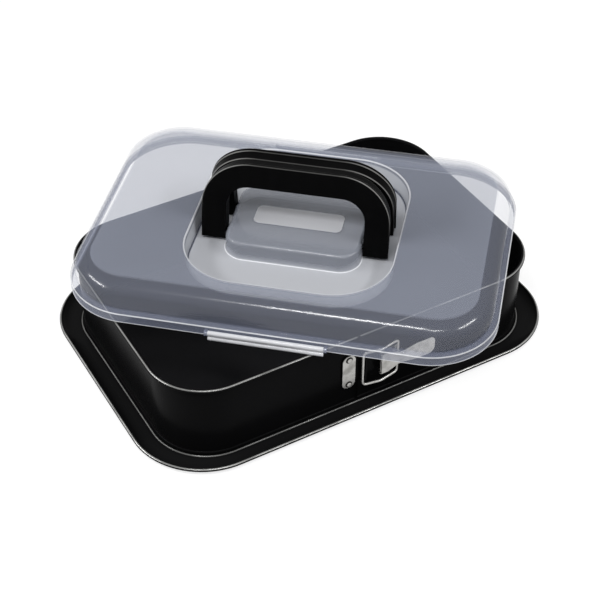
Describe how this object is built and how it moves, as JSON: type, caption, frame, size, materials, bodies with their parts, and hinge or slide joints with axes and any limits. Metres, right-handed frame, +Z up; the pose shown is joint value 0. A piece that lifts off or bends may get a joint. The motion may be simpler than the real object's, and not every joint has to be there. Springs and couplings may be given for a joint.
{
  "type": "springform pan with cover",
  "caption": "Rectangular springform baking pan with a clasp on its ring, a lipped base plate and a clear storage cover with a pair of folding carry handles.",
  "frame": {"origin": "middle of the base plate's underside, on the surface that the pan stands on", "axes": "+X along the pan's long side, -Y out of the side with the clasp, +Z up"},
  "size_m": [0.4228, 0.4114, 0.1758],
  "materials": {
    "nonstick_black": "satin nonstick coating on sheet steel",
    "bright_steel": "bright zinc plated stamping",
    "clear_plastic": "clear moulded polypropylene, slightly milky",
    "frosted_plastic": "milky moulded polypropylene",
    "black_plastic": "satin moulded plastic"
  },
  "bodies": {
    "base": {"base_plate": "nonstick_black"},
    "ring": {"ring_band": "nonstick_black", "catch_hook": "nonstick_black", "catch_plate": "bright_steel", "catch_rivets": "bright_steel", "lever_bracket": "bright_steel", "bracket_rivets": "bright_steel", "lever_pin": "bright_steel"},
    "lever": {"lever": "bright_steel"},
    "bail": {"bail": "bright_steel"},
    "cover": {"cover": "clear_plastic"},
    "handle_front": {"handle_front": "black_plastic"},
    "handle_rear": {"handle_rear": "black_plastic"},
    "snap_flap_front": {"snap_flap_front": "frosted_plastic"},
    "snap_flap_rear": {"snap_flap_rear": "frosted_plastic"}
  },
  "joints": [
    {"name": "ring_lift", "type": "slide", "parent": "base", "child": "ring", "axis": [0, 0, 1], "range_m": [0, 0.1]},
    {"name": "cover_lift", "type": "slide", "parent": "ring", "child": "cover", "axis": [0, 0, 1], "range_m": [0, 0.12]},
    {"name": "lever_swing", "type": "hinge", "parent": "ring", "child": "lever", "pos_m": [0.0095, -0.1303, 0.041], "axis": [0, 0, -1], "range_deg": [0, 140]},
    {"name": "bail_swing", "type": "hinge", "parent": "lever", "child": "bail", "pos_m": [0.0265, -0.1298, 0.041], "axis": [0, 0, -1], "range_deg": [-140, 0]},
    {"name": "handle_front_fold", "type": "hinge", "parent": "cover", "child": "handle_front", "pos_m": [-0.00932, -0.00849, 0.1049], "axis": [0.7499, -0.6616, 0], "range_deg": [0, 98.84]},
    {"name": "handle_rear_fold", "type": "hinge", "parent": "cover", "child": "handle_rear", "pos_m": [0.01412, 0.01809, 0.1049], "axis": [-0.7499, 0.6616, 0], "range_deg": [0, 98.84]},
    {"name": "snap_flap_front_swing", "type": "hinge", "parent": "cover", "child": "snap_flap_front", "pos_m": [-0.09101, -0.10108, 0.0881], "axis": [-0.7499, 0.6616, 0], "range_deg": [0, 100]},
    {"name": "snap_flap_rear_swing", "type": "hinge", "parent": "cover", "child": "snap_flap_rear", "pos_m": [0.09581, 0.11068, 0.0881], "axis": [0.7499, -0.6616, 0], "range_deg": [0, 100]}
  ],
  "couplings": [
    {"joint": "bail_swing", "follows": "lever_swing", "ratio": -1}
  ]
}
